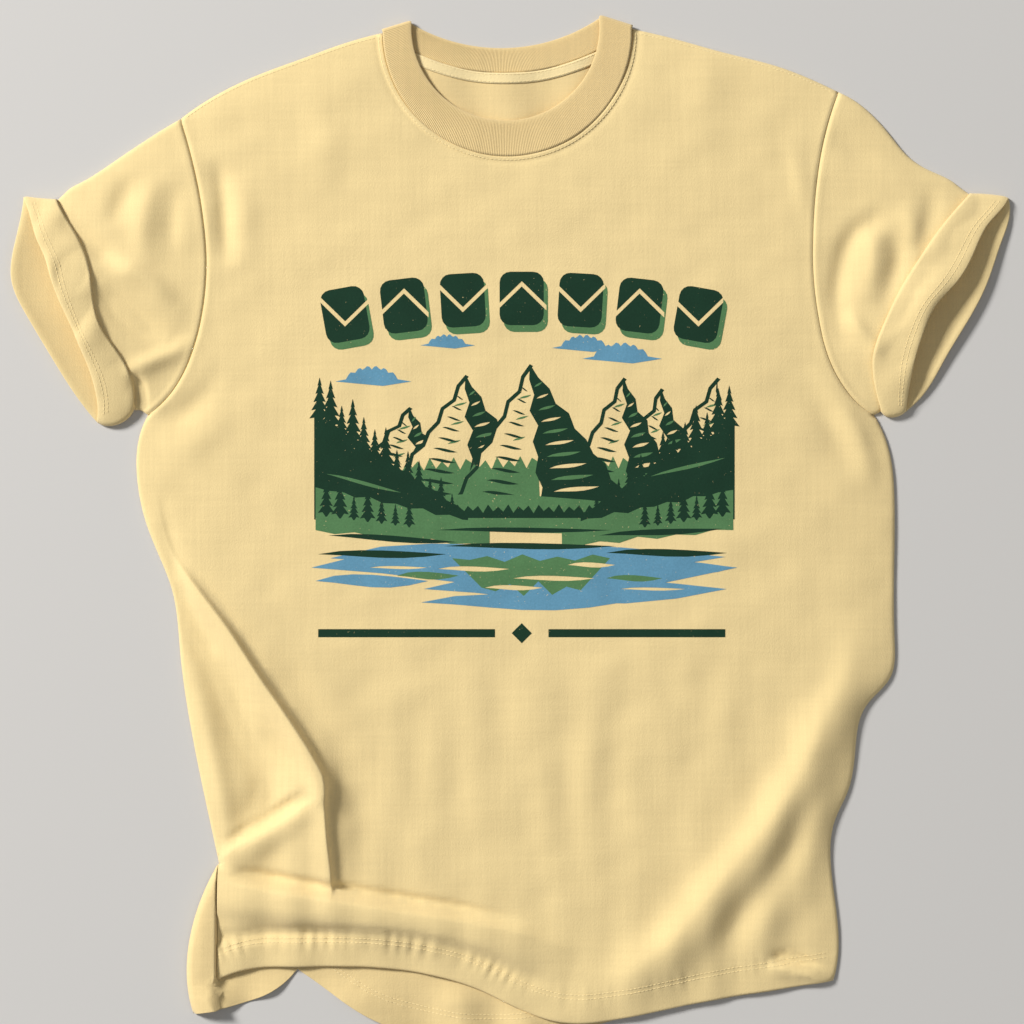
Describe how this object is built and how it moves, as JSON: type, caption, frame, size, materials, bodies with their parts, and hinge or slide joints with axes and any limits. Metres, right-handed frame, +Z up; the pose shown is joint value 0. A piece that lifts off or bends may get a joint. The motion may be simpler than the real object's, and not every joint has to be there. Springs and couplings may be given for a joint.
{
  "type": "short-sleeved crew-neck t-shirt",
  "caption": "Short-sleeved crew-neck cotton T-shirt lying face up with turned-up sleeves, a rumpled hem and a mountain lake chest print.",
  "frame": {"origin": "under the middle of the shirt's outline, on the surface it lies on", "axes": "+X to the right of someone looking down at the chest, +Y towards the collar, +Z up from the surface"},
  "size_m": [0.7466, 0.7682, 0.0123],
  "materials": {
    "jersey": "garment-dyed cotton jersey, pale yellow",
    "rib_knit": "one-by-one cotton rib, pale yellow",
    "twill_tape": "woven cotton tape, pale yellow",
    "sewing_thread": "spun cotton thread, pale yellow",
    "ink_dark_green": "matt screen-print ink, dark green",
    "ink_mid_green": "matt screen-print ink, mid green",
    "ink_blue": "matt screen-print ink, blue"
  },
  "bodies": {
    "root": {"front_panel": "jersey", "back_panel": "jersey", "left_sleeve": "jersey", "right_sleeve": "jersey", "collar_rib": "rib_knit", "neck_tape": "twill_tape", "left_shoulder_tape": "twill_tape", "right_shoulder_tape": "twill_tape", "collar_topstitch": "sewing_thread", "neck_seam_thread": "sewing_thread", "neck_tape_stitching": "sewing_thread", "left_armhole_seam_thread": "sewing_thread", "right_armhole_seam_thread": "sewing_thread", "left_shoulder_stitching": "sewing_thread", "right_shoulder_stitching": "sewing_thread", "left_side_seam_thread": "sewing_thread", "right_side_seam_thread": "sewing_thread", "front_hem_stitching": "sewing_thread", "back_hem_stitching": "sewing_thread", "left_sleeve_hem_stitching": "sewing_thread", "right_sleeve_hem_stitching": "sewing_thread", "print_dark_green": "ink_dark_green", "print_mid_green": "ink_mid_green", "print_blue": "ink_blue"}
  },
  "joints": []
}
